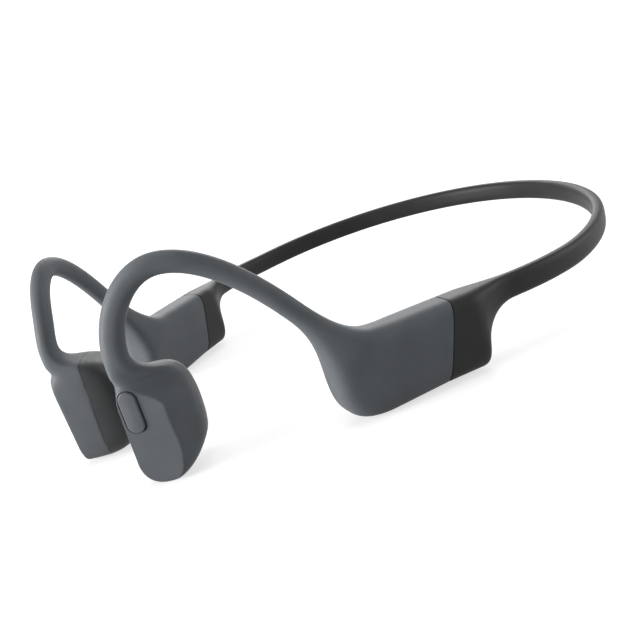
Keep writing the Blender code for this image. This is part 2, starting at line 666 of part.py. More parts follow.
def build_driver(side, word):
    """Skin pad, magnet motor and leaf spring, stacked behind the flat face."""
    pad = loft("pad", rib_rings(side, len(ARM_RIBS[0]) - len(DRIVER_LEVELS) - HOLLOW_STEPS))
    cut(pad, half_space(driver_frame(side, SPLIT_OUT - GAP), 1))
    crown = FACET_OUT - DRIVER_DEPTH
    cut(pad, driver_room(side, SPLIT_OUT + 3 * GAP, crown + PAD_WALL, PAD_ROOM))
    cut(pad, half_space(driver_frame(side, crown + PAD_FLAT), -1))
    keep(pad, word + "_skin_pad", black_silicone)
    frame = motor_frame(side)
    yoke_back = ROOF_OUT - MOTOR_DROP
    yoke = drum("yoke", YOKE_RADIUS, YOKE_LENGTH, moved(frame, yoke_back - YOKE_LENGTH / 2))
    cup_back = yoke_back - YOKE_WALL
    hollow = drum("hollow", YOKE_RADIUS - YOKE_WALL, YOKE_LENGTH, moved(frame, cup_back - YOKE_LENGTH / 2))
    cut(yoke, hollow)
    set_origin(keep(yoke, word + "_yoke", yoke_steel), moved(frame, yoke_back).translation)
    magnet_back = cup_back - GLUE
    magnet = drum("magnet", MAGNET_RADIUS, MAGNET_LENGTH, moved(frame, magnet_back - MAGNET_LENGTH / 2))
    set_origin(keep(magnet, word + "_magnet", magnet_metal), moved(frame, magnet_back).translation)
    coil_back = magnet_back - COIL_GAP
    coil_mid = moved(frame, coil_back - COIL_LENGTH / 2)
    coil = drum("coil", COIL_INNER + COIL_WALL, COIL_LENGTH, coil_mid)
    cut(coil, drum("coil_hole", COIL_INNER, COIL_LENGTH * 2, coil_mid))
    keep(coil, word + "_voice_coil", coil_copper)
    leaf_mid = moved(frame, coil_back - COIL_LENGTH - GAP - LEAF_THICK / 2)
    leaf = drum("leaf", YOKE_RADIUS + GAP / 2, LEAF_THICK, leaf_mid)
    for quarter in range(4):
        turned = leaf_mid @ Matrix.Rotation(quarter * math.pi / 2, 4, "X")
        place = moved(turned, 0.0, 0.62 * YOKE_RADIUS)
        cut(leaf, pill("slot", 0.8 * YOKE_RADIUS, 0.24 * YOKE_RADIUS, 3 * LEAF_THICK, place))
    keep(leaf, word + "_leaf_spring", spring_metal)


def set_origin(obj, place):
    obj.data.transform(Matrix.Translation(-place))
    obj.location = place


def plunger(name, length, width, reach, frame, material):
    """Button: a pill with a longer flange inside; the frame sits on its outer face."""
    overlap = FLANGE_THICK / 8
    stem = pill("stem", length, width, reach, moved(frame, -reach / 2))
    flange = pill("flange", length + 2 * FLANGE_LIP, width + FIT / 2, FLANGE_THICK,
                  moved(frame, -reach - FLANGE_THICK / 2 + overlap))
    combine(stem, flange, "UNION")
    set_origin(stem, frame.translation)
    return keep(stem, name, material)


def build_main_button(skin):
    """Pill on the left flat face, its slot, and the switch it presses."""
    half_width = DRIVER_WIDTH / 2 / outward(DRIVER_MID_Y)[0]
    face = moved(facet_frame(LEFT), 0.0, MAIN_BUTTON_INSET - half_width, MAIN_BUTTON_UP)
    wide = MAIN_BUTTON_WIDTH + 2 * FIT
    slot = pill("slot", MAIN_BUTTON_LENGTH + 2 * FIT, wide, 4 * MAIN_BUTTON_WALL,
                moved(face, MAIN_BUTTON_WALL / 2))
    room_top, room_foot = FIT - MAIN_BUTTON_WALL, -ROOF_DEPTH - 2 * GAP
    lip_room = pill("lip_room", MAIN_BUTTON_LENGTH + 2 * (FLANGE_LIP + FIT), wide, room_top - room_foot,
                    moved(face, (room_top + room_foot) / 2))
    cut(skin, slot, lip_room)
    reach = MAIN_BUTTON_PROUD + MAIN_BUTTON_WALL + FIT
    outer = moved(face, MAIN_BUTTON_PROUD)
    plunger("multifunction_button", MAIN_BUTTON_LENGTH, MAIN_BUTTON_WIDTH, reach, outer, button_rubber)
    switch_top = -reach - FLANGE_THICK - TRAVEL - FIT / 2
    switch = block("switch", MAIN_SWITCH, moved(outer, switch_top - MAIN_SWITCH[0] / 2, 2 * FIT), 0.08 * MM)
    keep(switch, "main_switch", case_plastic)


def build_left_pod():
    """Battery cell with its protection board on the inner side of the tray."""
    frame = arm_frame(POD_MID_Y, POD_MID_Z, 0.0, LEFT)
    cell = block("cell", (CELL_THICK, CELL_LENGTH, CELL_HEIGHT), moved(frame, 2 * FIT), 0.5 * MM)
    keep(cell, "battery_cell", cell_wrap)
    board_out = 2 * FIT - CELL_THICK / 2 - FIT - BOARD_THICK / 4
    board = block("board", (BOARD_THICK / 2, BOARD_LENGTH * 0.6, BOARD_HEIGHT * 0.7), moved(frame, board_out))
    keep(board, "battery_board", board_green)


# Right pod

BUTTON_FACE_Z = POD_BOTTOM - POD_DROP * 0.45
BOARD_OUT = 1.35 * MM
PORT_LENGTH = 7.0 * MM
PORT_WIDTH = 3.2 * MM
PORT_THICK = 0.8 * MM
PORT_PROUD = 0.1 * MM
CAN_SIZE = (1.4 * MM, 7.0 * MM, 4.2 * MM)
CONTACT_RADIUS = 0.6 * MM
CONTACT_PITCH = 3.0 * MM
LIGHT_RADIUS = 0.5 * MM


def volume_frame(step):
    """Frame under the right pod: first axis down, third along the pod."""
    side_frame = arm_frame(POD_MID_Y - 2 * FIT, BUTTON_FACE_Z, 0.0, RIGHT)
    turn = Matrix.Rotation(math.pi / 2, 4, "Y") @ Matrix.Rotation(math.pi / 2, 4, "X")
    return moved(side_frame, 0.0, step * VOLUME_PITCH / 2) @ turn


def volume_slot(step):
    frame = volume_frame(step)
    return pill("slot", VOLUME_BUTTON_LENGTH + 2 * FIT, VOLUME_BUTTON_WIDTH + 2 * FIT, POD_THICK, frame)


def port_frame():
    return arm_frame(POD_MID_Y - 1.0 * MM, POD_MID_Z, POD_THICK / 2, RIGHT)


def contact_at(step, radius, outer, inner):
    """Pin through the charge port, between two depths from the pod's face."""
    frame = moved(port_frame(), (outer + inner) / 2, step * CONTACT_PITCH / 2)
    return drum("pin", radius, outer - inner, frame, 16)


def light_at(radius, outer, inner):
    frame = moved(port_frame(), (outer + inner) / 2, PORT_LENGTH / 2 + PORT_WIDTH / 2)
    return drum("light", radius, outer - inner, frame, 16)


def right_pod_holes():
    deep = -(POD_THICK / 2 - BOARD_OUT)
    proud = 10 * PORT_PROUD
    pin, pipe = CONTACT_RADIUS + FIT, LIGHT_RADIUS + FIT
    return [lambda: volume_slot(1), lambda: volume_slot(-1),
            lambda: contact_at(1, pin, proud, deep), lambda: contact_at(-1, pin, proud, deep),
            lambda: light_at(pipe, proud, deep)]


def build_right_pod(skin):
    """Main board, volume keys, magnetic charge port and status light."""
    cut(skin, *(hole() for hole in right_pod_holes()))
    pocket = pill("pocket", PORT_LENGTH + 2 * FIT, PORT_WIDTH + 2 * FIT, 2 * PORT_THICK,
                  port_frame() @ Matrix.Rotation(math.pi / 2, 4, "X"))
    cut(skin, pocket)
    quarter = Matrix.Rotation(math.pi / 2, 4, "X")
    plate = pill("plate", PORT_LENGTH, PORT_WIDTH, PORT_THICK,
                 moved(port_frame(), PORT_PROUD - PORT_THICK / 2 + FIT / 2) @ quarter)
    deep = 4 * PORT_THICK
    hole = CONTACT_RADIUS + FIT
    cut(plate, contact_at(1, hole, deep, -deep), contact_at(-1, hole, deep, -deep))
    keep(plate, "charge_port_plate", case_plastic)
    board_face = BOARD_OUT + BOARD_THICK / 2 - POD_THICK / 2
    keep(contact_at(1, CONTACT_RADIUS, PORT_PROUD, board_face + FIT), "charge_contact_rear", contact_gold)
    keep(contact_at(-1, CONTACT_RADIUS, PORT_PROUD, board_face + FIT), "charge_contact_front", contact_gold)
    keep(light_at(LIGHT_RADIUS, GLUE, board_face + FIT), "status_light", clear_plastic)
    frame = arm_frame(POD_MID_Y, POD_MID_Z + 6 * FIT, 0.0, RIGHT)
    board = block("board", (BOARD_THICK, BOARD_LENGTH, BOARD_HEIGHT), moved(frame, BOARD_OUT))
    keep(board, "main_board", board_green)
    can_out = BOARD_OUT - BOARD_THICK / 2 - FIT - CAN_SIZE[0] / 2
    can = block("can", CAN_SIZE, moved(frame, can_out, 0.0, 0.16 * BOARD_HEIGHT))
    keep(can, "shield_can", yoke_steel)
    reach = VOLUME_BUTTON_PROUD + CASE_INSET + CASE_WALL + FIT + GAP
    for name, step in (("volume_up", 1), ("volume_down", -1)):
        outer = moved(volume_frame(step), VOLUME_BUTTON_PROUD - POD_DROP * 0.55)
        plunger(name + "_button", VOLUME_BUTTON_LENGTH, VOLUME_BUTTON_WIDTH, reach, outer, button_rubber)
        top = -reach - FLANGE_THICK - TRAVEL - FIT / 2
        switch = block("switch", VOLUME_SWITCH, moved(outer, top - VOLUME_SWITCH[0] / 2, 6 * FIT), 0.08 * MM)
        keep(switch, name + "_switch", case_plastic)


build_neckband()
for side, word in ((LEFT, "left"), (RIGHT, "right")):
    arm = build_arm_skin(side, word)
    if side == LEFT:
        build_main_button(arm)
        build_left_pod()
    else:
        build_right_pod(arm)
    keep(arm, word + "_arm_skin", grey_silicone)
    build_hook_core(side, word)
    build_driver(side, word)
    build_pod_case(side, word, right_pod_holes() if side == RIGHT else [])

# Everything on the left side turns about the back of the neckband when the arms are pulled apart
hinge = Vector((0.0, LOOP_CENTRE_Y + BAND_RADIUS, BAND_MID))
for piece in parts.objects:
    if piece.name.startswith(("left_", "battery_", "main_switch")) and piece.location.length == 0.0:
        set_origin(piece, hinge)
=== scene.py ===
import math

import bmesh
import bpy
import numpy as np
from mathutils import Matrix


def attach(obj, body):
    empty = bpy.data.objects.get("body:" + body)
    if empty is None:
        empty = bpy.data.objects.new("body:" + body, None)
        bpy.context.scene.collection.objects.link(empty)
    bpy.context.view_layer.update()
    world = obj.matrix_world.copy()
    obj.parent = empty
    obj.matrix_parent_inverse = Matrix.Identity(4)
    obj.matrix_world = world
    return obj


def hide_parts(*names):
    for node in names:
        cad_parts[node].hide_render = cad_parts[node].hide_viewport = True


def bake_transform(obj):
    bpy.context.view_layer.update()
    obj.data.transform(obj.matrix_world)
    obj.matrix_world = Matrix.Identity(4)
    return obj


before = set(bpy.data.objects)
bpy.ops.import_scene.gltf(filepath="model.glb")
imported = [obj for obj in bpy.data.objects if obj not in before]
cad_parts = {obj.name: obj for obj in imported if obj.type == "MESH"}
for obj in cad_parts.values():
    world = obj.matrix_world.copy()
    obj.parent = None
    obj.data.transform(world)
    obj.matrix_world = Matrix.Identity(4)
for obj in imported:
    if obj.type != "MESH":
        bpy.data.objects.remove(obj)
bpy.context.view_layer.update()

mm = 0.001
left, right = 1, -1


# shapes are worked out in millimetres and put into the mesh in metres

meshing = dict(weld=0.000002, thin=0.000001, sharp=math.radians(38))


def easeIn(t):
    # from 0 to 1, level at both ends
    t = np.clip(t, 0.0, 1.0)
    return t * t * (3 - 2 * t)


def bezier(p0, p1, p2, p3, count):
    # cubic curve with two end points and two handles, without its last point
    t = np.linspace(0, 1, count, endpoint=False)[:, None]
    p0, p1, p2, p3 = (np.asarray(p, dtype=float) for p in (p0, p1, p2, p3))
    return (1 - t) ** 3 * p0 + 3 * t * (1 - t) ** 2 * p1 + 3 * t ** 2 * (1 - t) * p2 + t ** 3 * p3


def straight(p0, p1, count):
    t = np.linspace(0, 1, count, endpoint=False)[:, None]
    return np.asarray(p0, dtype=float) * (1 - t) + np.asarray(p1, dtype=float) * t


def soften(values, reach):
    # running mean with a bell weight, mirrored through its end points so that both ends stay put
    weight = np.exp(-np.linspace(-2, 2, 2 * reach + 1) ** 2)
    weight /= weight.sum()
    values = np.asarray(values, dtype=float)
    flat = values.reshape(len(values), -1)
    head = 2 * flat[0] - flat[reach:0:-1]
    tail = 2 * flat[-1] - flat[-2:-reach - 2:-1]
    padded = np.concatenate([head, flat, tail])
    mixed = np.stack([np.convolve(column, weight, "valid") for column in padded.T], axis=1)
    return mixed.reshape(values.shape)


def holdBelow(distance, radius):
    # smooth minimum of a distance and zero, with a fillet of the given radius
    return np.minimum(distance, 0.0) - np.maximum(radius - np.abs(distance), 0.0) ** 2 / (4 * radius)


def ringFaces(rows, around):
    # quads between neighbouring rings, then a fan at each end
    i, j = np.meshgrid(np.arange(rows - 1), np.arange(around), indexing="ij")
    k = (j + 1) % around
    quads = np.stack([i * around + j, i * around + k, (i + 1) * around + k, (i + 1) * around + j], axis=-1)
    j = np.arange(around)
    k = (j + 1) % around
    end = (rows - 1) * around
    first = np.stack([np.full(around, rows * around), k, j], axis=1)
    last = np.stack([np.full(around, rows * around + 1), end + j, end + k], axis=1)
    return quads.reshape(-1, 4).tolist() + first.tolist() + last.tolist()


def shadeMesh(mesh):
    mesh.shade_smooth()
    mesh.set_sharp_from_angle(angle=meshing["sharp"])


def makePiece(name, grid, material):
    # grid is rings x around x 3 in millimetres; the closed skin gets its faces outward
    rows, around, _ = grid.shape
    points = np.concatenate([grid.reshape(-1, 3), grid[[0, -1]].mean(axis=1)]) * mm
    mesh = bpy.data.meshes.new(name)
    mesh.from_pydata(points.tolist(), [], ringFaces(rows, around))
    shape = bmesh.new()
    shape.from_mesh(mesh)
    bmesh.ops.remove_doubles(shape, verts=shape.verts, dist=meshing["weld"])
    bmesh.ops.dissolve_degenerate(shape, edges=shape.edges, dist=meshing["thin"])
    bmesh.ops.recalc_face_normals(shape, faces=shape.faces)
    shape.to_mesh(mesh)
    shape.free()
    shadeMesh(mesh)
    piece = bpy.data.objects.new(name, mesh)
    bpy.context.scene.collection.objects.link(piece)
    if material:
        mesh.materials.append(material)
    return piece


def carve(piece, cutters):
    # take each cutter's volume out of a piece, then drop the cutters
    for cutter in cutters:
        change = piece.modifiers.new("carve", "BOOLEAN")
        change.object = cutter
        change.operation = "DIFFERENCE"
        change.solver = "EXACT"
    bpy.context.view_layer.update()
    graph = bpy.context.evaluated_depsgraph_get()
    mesh = bpy.data.meshes.new_from_object(piece.evaluated_get(graph))
    piece.modifiers.clear()
    piece.data = mesh
    shadeMesh(mesh)
    for cutter in cutters:
        bpy.data.objects.remove(cutter, do_unlink=True)


def oval(halfUp, halfOut, power, around):
    # rounded outline per ring: |u/a|^p + |v/b|^p = 1, at even turns about its middle
    angle = np.linspace(0, 2 * math.pi, around, endpoint=False)[None, :]
    c, s = np.cos(angle), np.sin(angle)
    p = power[:, None]
    reach = (np.abs(c) ** p + np.abs(s) ** p) ** (-1 / p)
    return halfUp[:, None] * c * reach, halfOut[:, None] * s * reach


# finishes: colour, roughness and fine bump all come from noise on object coordinates

finishes = {
    "armSilicone": dict(dark=(0.101, 0.111, 0.12), light=(0.12, 0.131, 0.141),
                        rough=(0.5, 0.6), grain=5200, bump=0.05, specular=0.19),
    "bandSilicone": dict(dark=(0.0145, 0.0148, 0.0152), light=(0.0205, 0.0208, 0.0213),
                         rough=(0.44, 0.54), grain=4800, bump=0.05, specular=0.2),
    "padSilicone": dict(dark=(0.033, 0.034, 0.0355), light=(0.043, 0.044, 0.046),
                        rough=(0.44, 0.54), grain=5600, bump=0.05, specular=0.32),
    "buttonSilicone": dict(dark=(0.108, 0.118, 0.127), light=(0.125, 0.136, 0.146),
                           rough=(0.48, 0.56), grain=6000, bump=0.05, specular=0.21),
    "trayPlastic": dict(dark=(0.03, 0.03, 0.032), light=(0.05, 0.05, 0.053),
                        rough=(0.4, 0.55), grain=2600, bump=0.12, specular=0.5),
    "springWire": dict(dark=(0.42, 0.42, 0.44), light=(0.6, 0.6, 0.62),
                       rough=(0.22, 0.36), grain=1800, bump=0.06, metal=1.0, stretch=(1, 1, 0.05)),
    "leadJacket": dict(dark=(0.22, 0.02, 0.02), light=(0.32, 0.035, 0.03),
                       rough=(0.4, 0.5), grain=2200, bump=0.05),
    "cellWrap": dict(dark=(0.07, 0.16, 0.34), light=(0.1, 0.22, 0.44),
                     rough=(0.25, 0.4), grain=900, bump=0.08, stretch=(1, 0.3, 1)),
    "boardMask": dict(dark=(0.01, 0.09, 0.03), light=(0.03, 0.2, 0.07),
                      rough=(0.3, 0.45), grain=1500, bump=0.1, cells=True),
    "yokeSteel": dict(dark=(0.4, 0.4, 0.41), light=(0.55, 0.55, 0.56),
                      rough=(0.3, 0.45), grain=1600, bump=0.08, metal=1.0, stretch=(0.2, 1, 1)),
    "magnetNickel": dict(dark=(0.52, 0.52, 0.53), light=(0.66, 0.66, 0.67),
                         rough=(0.16, 0.3), grain=1300, bump=0.04, metal=1.0),
    "coilCopper": dict(dark=(0.5, 0.22, 0.09), light=(0.75, 0.38, 0.17),
                       rough=(0.25, 0.4), grain=2600, bump=0.15, metal=1.0, stretch=(1, 1, 0.2)),
    "contactGold": dict(dark=(0.68, 0.5, 0.16), light=(0.83, 0.64, 0.25),
                        rough=(0.18, 0.3), grain=2400, bump=0.04, metal=1.0),
    "lightPipe": dict(dark=(0.55, 0.56, 0.57), light=(0.7, 0.71, 0.72),
                      rough=(0.15, 0.28), grain=1900, bump=0.04, glow=0.35),
}
# shares are of a finish's grain, and noise is spread from its low to its high value
texture = dict(cloudShare=0.03, cloudDetail=3, fineDetail=2, cellShare=0.4, low=0.3, high=0.7, bumpDepth=0.05)


def makeFinish(name):
    look = finishes[name]
    mat = bpy.data.materials.new(name)
    mat.use_nodes = True
    nodes, links = mat.node_tree.nodes, mat.node_tree.links
    shader = nodes["Principled BSDF"]
    place = nodes.new("ShaderNodeTexCoord")
    mapping = nodes.new("ShaderNodeMapping")
    mapping.inputs["Scale"].default_value = look.get("stretch", (1, 1, 1))
    links.new(place.outputs["Object"], mapping.inputs["Vector"])

    def noise(scale, detail):
        node = nodes.new("ShaderNodeTexNoise")
        node.inputs["Scale"].default_value = scale
        node.inputs["Detail"].default_value = detail
        links.new(mapping.outputs["Vector"], node.inputs["Vector"])
        return node.outputs["Fac"]

    def cells(scale):
        node = nodes.new("ShaderNodeTexVoronoi")
        node.distance = "CHEBYCHEV"
        node.inputs["Scale"].default_value = scale
        links.new(mapping.outputs["Vector"], node.inputs["Vector"])
        return node.outputs["Distance"]

    if look.get("cells"):
        cloud = cells(look["grain"] * texture["cellShare"])      # pads and tracks on a circuit board
    else:
        cloud = noise(look["grain"] * texture["cloudShare"], texture["cloudDetail"])   # broad unevenness
    fine = noise(look["grain"], texture["fineDetail"])           # moulded grain
    tint = nodes.new("ShaderNodeValToRGB")
    for stop, level, colour in zip(tint.color_ramp.elements, ("low", "high"), ("dark", "light")):
        stop.position = texture[level]
        stop.color = (*look[colour], 1)
    links.new(cloud, tint.inputs["Fac"])
    links.new(tint.outputs["Color"], shader.inputs["Base Color"])
    matte = nodes.new("ShaderNodeMapRange")
    matte.inputs["From Min"].default_value = texture["low"]
    matte.inputs["From Max"].default_value = texture["high"]
    matte.inputs["To Min"].default_value, matte.inputs["To Max"].default_value = look["rough"]
    links.new(fine, matte.inputs["Value"])
    links.new(matte.outputs["Result"], shader.inputs["Roughness"])
    bump = nodes.new("ShaderNodeBump")
    bump.inputs["Strength"].default_value = look["bump"]
    bump.inputs["Distance"].default_value = texture["bumpDepth"] * mm
    links.new(fine, bump.inputs["Height"])
    links.new(bump.outputs["Normal"], shader.inputs["Normal"])
    shader.inputs["Metallic"].default_value = look.get("metal", 0.0)
    shader.inputs["Specular IOR Level"].default_value = look.get("specular", 0.5)
    if "glow" in look:
        shader.inputs["Emission Color"].default_value = (*look["light"], 1)
        shader.inputs["Emission Strength"].default_value = look["glow"]
    mat.diffuse_color = (*look["light"], 1)
    return mat


finish = {name: makeFinish(name) for name in finishes}
print("finishes made:", len(finish))


# lie of the set: the band is a circle, the pods run on from its ends, the hooks bend in

plan = dict(bandRadius=50.8, loopCentreY=17.395, splay=math.radians(20.5), seamY=-15.305, seamSlant=4.0,
            podLength=20.0, headSpacing=30.7, headY=-63.88, seamGap=0.06, edgeRound=0.14)
loopEndX = plan["bandRadius"] * math.cos(plan["splay"])
loopEndY = plan["loopCentreY"] - plan["bandRadius"] * math.sin(plan["splay"])
bendY = plan["seamY"] - plan["podLength"]
straightX = loopEndX + math.tan(plan["splay"]) * (plan["headY"] - loopEndY)
# the hooks bend in so far that the heads stand at their spacing
hookBend = (straightX - plan["headSpacing"] / 2) / (bendY - plan["headY"]) ** 2
wedgeLimit = dict(rim=0.8, share=0.45, least=0.1)   # keeps the wedge from folding a thin outline over


def curtainX(y):
    # plan line of the left arm: straight along the pod, then a parabola inward
    return loopEndX + math.tan(plan["splay"]) * (y - loopEndY) - hookBend * np.maximum(0.0, bendY - y) ** 2


def outward(y):
    # unit normal of the plan line, away from the wearer
    y = np.asarray(y, dtype=float)
    slope = math.tan(plan["splay"]) + 2 * hookBend * np.maximum(0.0, bendY - y)
    return np.stack([np.ones_like(slope), -slope, np.zeros_like(slope)], axis=-1) / np.hypot(1.0, slope)[..., None]


def onCurtain(edge):
    return np.stack([curtainX(edge[:, 0]), edge[:, 0], edge[:, 1]], axis=1)


def ribSkin(ribs, around):
    # rounded outline at each rib: up along the rib, out along the plan line's normal;
    # the wedge leans the outer half of an outline back in proportion to its height along the rib
    top, foot = onCurtain(ribs["upper"]), onCurtain(ribs["lower"])
    centre, rise = (top + foot) / 2, (top - foot) / 2
    half = np.linalg.norm(rise, axis=1)
    out = outward(centre[:, 1])
    u, v = oval(half - ribs["inset"], ribs["thick"] / 2 - ribs["inset"], ribs["power"], around)
    lean = np.clip(0.5 + v / ribs["thick"][:, None], 0.0, 1.0)
    pivot = np.minimum(ribs["pivot"], half - wedgeLimit["rim"])
    room = np.maximum(half + pivot, wedgeLimit["least"])
    wedge = np.minimum(ribs["wedge"], wedgeLimit["share"] * ribs["thick"] / room)
    v = v + wedge[:, None] * (u - pivot[:, None]) * lean + ribs["shift"][:, None]
    return centre[:, None] + u[..., None] * (rise / half[:, None])[:, None] + v[..., None] * out[:, None]


def roundedInset(run):
    # how far an outline draws in over the last fraction of a millimetre before a seam
    near = np.clip(1 - run / plan["edgeRound"], 0.0, 1.0)
    return plan["edgeRound"] * (1 - np.sqrt(1 - near ** 2))


def armFrame(y, z, out, side, turn=0.0, tilt=0.0):
    # place and axes on an arm: outward, along, up
    first = outward(y)
    place = np.array([curtainX(y), y, z]) + out * first
    c, s = math.cos(turn), math.sin(turn)
    first = np.array([first[0] * c + first[1] * s, first[1] * c - first[0] * s, 0.0])
    first = first * math.cos(tilt) - np.array([0.0, 0.0, math.sin(tilt)])
    place[0] *= side
    first[0] *= side
    second = np.cross([0.0, 0.0, 1.0], first)
    second /= np.linalg.norm(second)
    return place, np.stack([first, second, np.cross(first, second)])


def shifted(where, first=0.0, second=0.0, third=0.0):
    place, axes = where
    return place + first * axes[0] + second * axes[1] + third * axes[2], axes


# arms: pod, neck, ear hook and driver head under one skin; pairs are steps along y and z in side view,
# and names that end in Out or In are the handles of the curve that leaves or reaches that point

pod = dict(top=15.8, bottom=0.6, drop=0.6, thick=9.2, power=4.2, topShare=0.55, footShare=0.58, rows=60)
neck = dict(nose=(-3.9, 6.4), valley=(-3.6, 0.2), slim=0.93, power=3.4, cornerRows=50, rows=60,
            topOut=(-1.2, 0.0), valleyIn=(1.2, -0.1), valleyOut=(-4.2, 0.4), hookTopIn=4.0,
            footOut=(-5.6, 0.0), noseIn=(0.5, -5.2), noseOut=(-0.4, 5.0), hookFootIn=6.0)
hook = dict(width=3.6, thick=3.5, crestY=-58.705, crestZ=38.6, flare=0.2, rootFlare=1.0, power=2.2,
            rootRise=3.6, rootLean=0.75, leanReach=1.1, leanRise=0.4,
            rootOut=(0.1, 7.0), crestIn=(-4.3, 0.0), crestOut=(6.0, 0.0), footStep=(-6.3, 7.6), footIn=7.6,
            riseRows=50, fallRows=90)
driver = dict(height=21.2, width=9.05, depth=12.6, facetOut=1.8, shellDepth=6.4, turn=math.radians(4),
              tilt=math.radians(4.4), wedge=0.8, topWedge=0.28, pivot=-2.65, creaseTurn=14.5, creaseRun=7.9,
              power=3.2, edge=0.3, splitEdge=0.25, recede=0.25, recedeFrom=12.0, recedeRun=12.0)
head = dict(topTurn=0.22, chinTurn=0.04, rows=110, swell=2.5, chinFrom=0.5, chinStep=2.2, lowSwell=1.09, lowShare=0.3,
            shoulderRows=30, shoulderOut=(0.0, -1.9), shoulderIn=(-1.6, 0.75), innerPower=5, innerRound=0.4,
            outerFrom=-0.4, outerPower=6, fadePower=8)
smoothing = dict(upper=7, lower=7, thick=9, power=9, shift=9)   # rows either way
pressing = dict(lead=4, run=30.0)                               # rows over which the head's flat faces set in
armAround = 128
driverMidY, driverMidZ = plan["headY"], driver["height"] / 2
frontY = driverMidY - driver["width"] / 2
splitOut = driver["facetOut"] - driver["shellDepth"]
footLean = np.array([0.57, -0.82])                              # which way the hook runs into the neck


def hookLine():
    # centreline in side view, from the head up over the ear and down to the pod
    rootHalf = hook["width"] / 2 * outward(frontY)[0]
    root = np.array([frontY + driver["recede"] + rootHalf, driver["height"] + hook["rootRise"]])
    crest = np.array([hook["crestY"], hook["crestZ"]])
    foot = np.array([bendY, pod["top"]]) + hook["footStep"]
    rise = bezier(root, root + hook["rootOut"], crest + hook["crestIn"], crest, hook["riseRows"])
    fall = bezier(crest, crest + hook["crestOut"], foot - hook["footIn"] * footLean, foot, hook["fallRows"])
    return np.concatenate([rise, fall, foot[None]]), root


def driverRibs(hookBack):
    # front and back edges follow a rounded outline of the level, which runs from 1 at the top to -1;
    # above it the back edge comes down from the hook in one hollow curve
    levels = np.cos(np.linspace(head["topTurn"], math.pi - head["chinTurn"], head["rows"]))
    swell = (1 - np.abs(levels) ** head["swell"]) ** (1 / head["swell"])
    middle = driverMidY - np.maximum(0.0, -levels - head["chinFrom"]) * head["chinStep"]
    half = driver["width"] / 2
    shoulder = np.ones(head["shoulderRows"])
    heights = (levels - levels[-1]) * driver["height"] / (1 - levels[-1])
    back = np.stack([middle + swell * half, heights], axis=1)
    hollow = bezier(hookBack, hookBack + head["shoulderOut"], back[0] + head["shoulderIn"], back[0], len(shoulder))
    back = np.concatenate([hollow, back])
    heights = back[:, 1]
    low = np.concatenate([shoulder, np.minimum(1.0, swell * head["lowSwell"])])
    front = np.concatenate([shoulder * driverMidY, middle])
    front = front - half * np.where(heights > head["lowShare"] * driver["height"], 1.0, low)
    front = front + driver["recede"] * easeIn((heights - driver["recedeFrom"]) / driver["recedeRun"])
    # the inner half deepens from the hook's to the head's; the outer half keeps the hook's, and rounds off at the chin
    inner = (driver["depth"] - driver["facetOut"]) * (1 - np.abs(levels) ** head["innerPower"]) ** head["innerRound"]
    start = hook["thick"] / 2
    deepen = np.linspace(0, 1, len(shoulder), endpoint=False) ** 2
    inner = np.concatenate([start + (inner[0] - start) * deepen, inner])
    chin = np.sqrt(1 - np.abs(levels) ** head["outerPower"])
    outer = start * np.concatenate([shoulder, np.where(levels > head["outerFrom"], 1.0, chin)])
    # the flat face's crease runs up the head and then forward over the top of the face
    climb = easeIn((heights - driver["creaseTurn"]) / (driver["height"] - driver["creaseTurn"]))
    pivot = driver["pivot"] + climb * driver["creaseRun"]
    fade = np.where(levels > 0, 1.0, np.sqrt(1 - np.abs(levels) ** head["fadePower"]))
    fade = np.concatenate([easeIn(np.linspace(0, 1, len(shoulder))), fade])
    wedge = (driver["wedge"] + climb * (driver["topWedge"] - driver["wedge"])) * fade
    power = np.concatenate([np.linspace(hook["power"], driver["power"], len(shoulder)),
                            np.full(len(levels), driver["power"])])
    return np.stack([front, heights], axis=1), back, outer, inner, wedge, pivot, power


def hookEdges(line):
    # widths are true ones along the bending curtain, so steps in y are stretched first and shrunk after
    shrink = outward(line[:, 0])[:, 0]
    along = np.gradient(line, axis=0) / np.stack([shrink, np.ones(len(line))], axis=1)
    along /= np.linalg.norm(along, axis=1)[:, None]
    across = np.stack([-along[:, 1] * shrink, along[:, 0]], axis=1)
    run = np.linspace(0, 1, len(line))[:, None]
    flare = run ** 2 * hook["flare"] + (1 - run) ** 2 * hook["rootFlare"]
    return (line + across * hook["width"] / 2)[::-1], (line - across * (hook["width"] / 2 + flare))[::-1]


